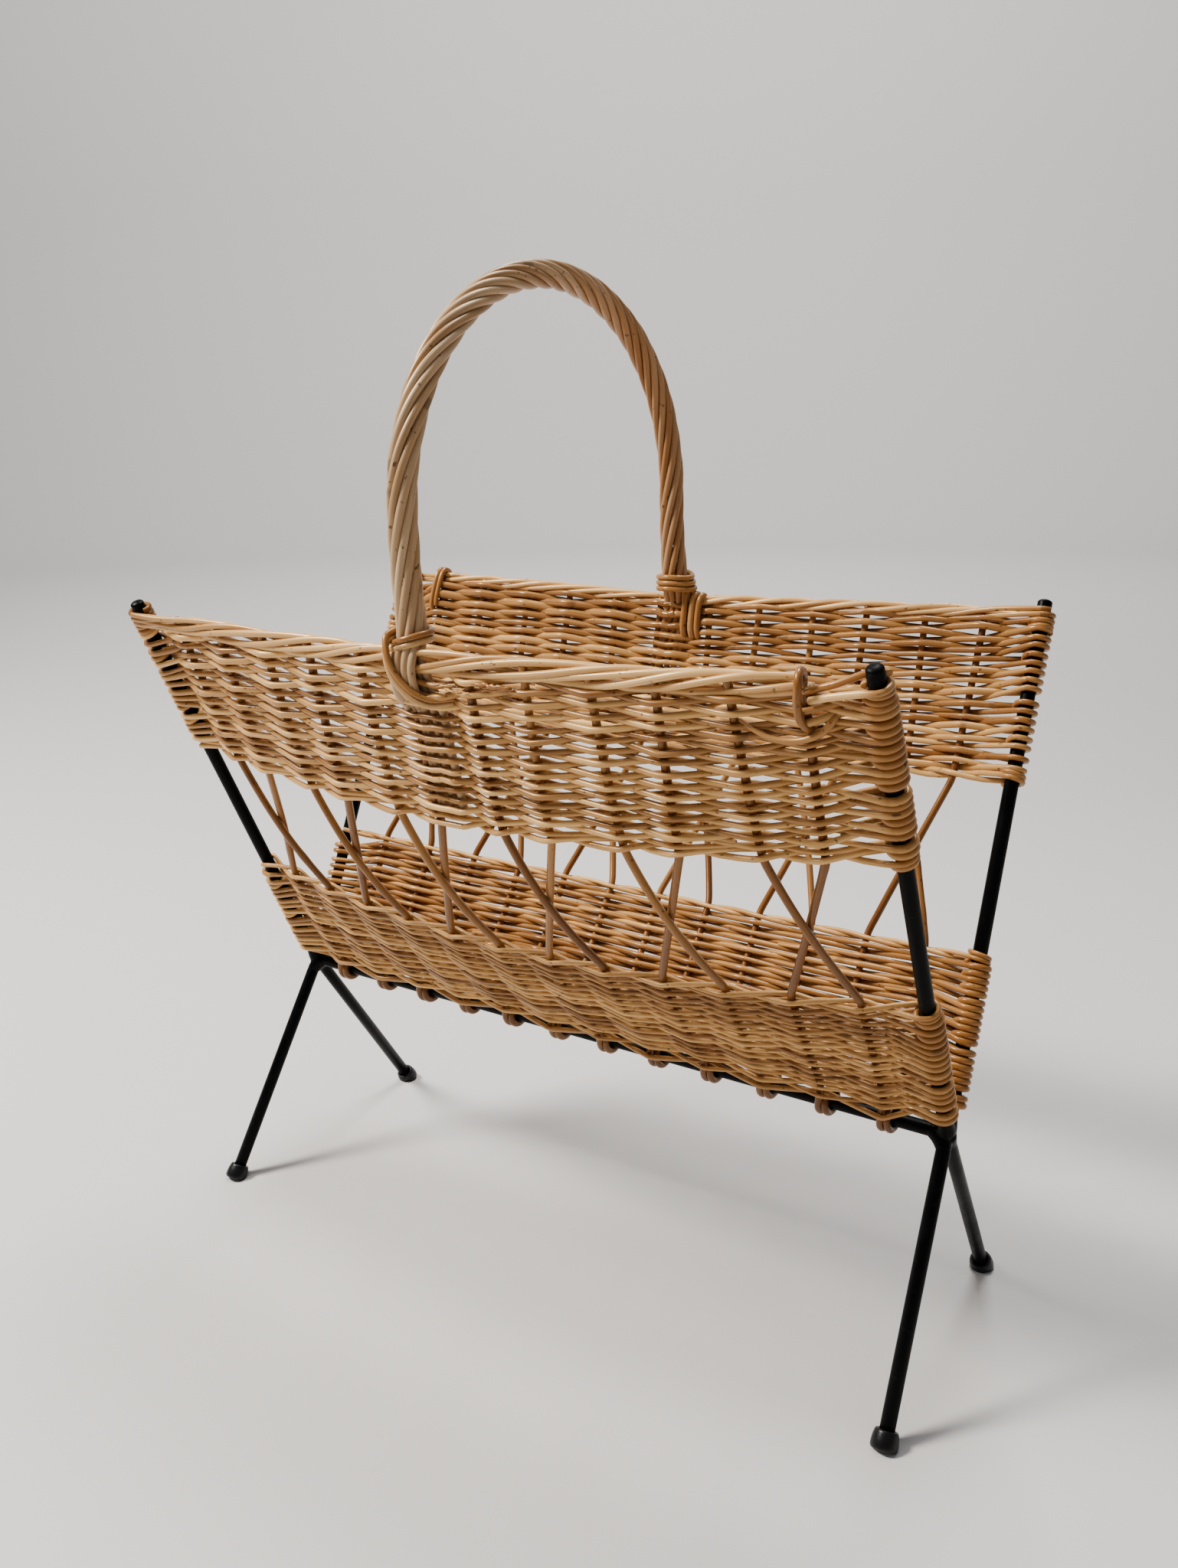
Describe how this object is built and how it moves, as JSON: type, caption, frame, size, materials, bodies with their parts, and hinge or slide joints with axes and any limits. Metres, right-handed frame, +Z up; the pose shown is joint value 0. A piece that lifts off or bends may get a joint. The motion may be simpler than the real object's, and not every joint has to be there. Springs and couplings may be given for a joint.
{
  "type": "magazine basket",
  "caption": "Open magazine basket of woven willow panels set in a V on a welded black rod frame, with capped feet and a roped willow handle arched between the rims.",
  "frame": {"origin": "on the floor, midway between the four feet and below the middle of the rail", "axes": "+Z up, +X along the rail to the right as the front is seen, -Y towards the front panel, across the V"},
  "size_m": [0.4838, 0.2723, 0.5848],
  "materials": {
    "black_steel": "semi-gloss black paint on round bar",
    "black_rubber": "matt moulded rubber",
    "pale_willow": "varnished honey willow, woven",
    "brown_willow": "varnished red-brown willow stakes"
  },
  "bodies": {
    "root": {"rail_and_front_legs": "black_steel", "left_front_post_rear_leg": "black_steel", "right_front_post_rear_leg": "black_steel", "left_rear_post": "black_steel", "right_rear_post": "black_steel", "front_left_foot_cap": "black_rubber", "front_right_foot_cap": "black_rubber", "rear_left_foot_cap": "black_rubber", "rear_right_foot_cap": "black_rubber", "front_upper_band": "pale_willow", "front_lower_band": "pale_willow", "rear_upper_band": "pale_willow", "rear_lower_band": "pale_willow", "front_rim_border": "pale_willow", "rear_rim_border": "pale_willow", "front_stake_01": "brown_willow", "front_stake_02": "brown_willow", "front_stake_03": "brown_willow", "front_stake_04": "brown_willow", "front_stake_05": "brown_willow", "front_stake_06": "brown_willow", "front_stake_07": "brown_willow", "front_stake_08": "brown_willow", "front_stake_09": "brown_willow", "front_stake_10": "brown_willow", "front_stake_11": "brown_willow", "front_stake_12": "brown_willow", "rear_stake_01": "brown_willow", "rear_stake_02": "brown_willow", "rear_stake_03": "brown_willow", "rear_stake_04": "brown_willow", "rear_stake_05": "brown_willow", "rear_stake_06": "brown_willow", "rear_stake_07": "brown_willow", "rear_stake_08": "brown_willow", "rear_stake_09": "brown_willow", "rear_stake_10": "brown_willow", "rear_stake_11": "brown_willow", "rear_stake_12": "brown_willow", "rail_turn_01": "brown_willow", "rail_turn_02": "brown_willow", "rail_turn_03": "brown_willow", "rail_turn_04": "brown_willow", "rail_turn_05": "brown_willow", "rail_turn_06": "brown_willow", "rail_turn_07": "brown_willow", "rail_turn_08": "brown_willow", "rail_turn_09": "brown_willow", "rail_turn_10": "brown_willow", "rail_turn_11": "brown_willow", "rail_turn_12": "brown_willow", "handle": "pale_willow", "front_handle_binding": "pale_willow", "rear_handle_binding": "pale_willow", "front_rim_loop": "pale_willow", "rear_left_rim_loop": "pale_willow", "rear_middle_rim_loop": "pale_willow"}
  },
  "joints": []
}
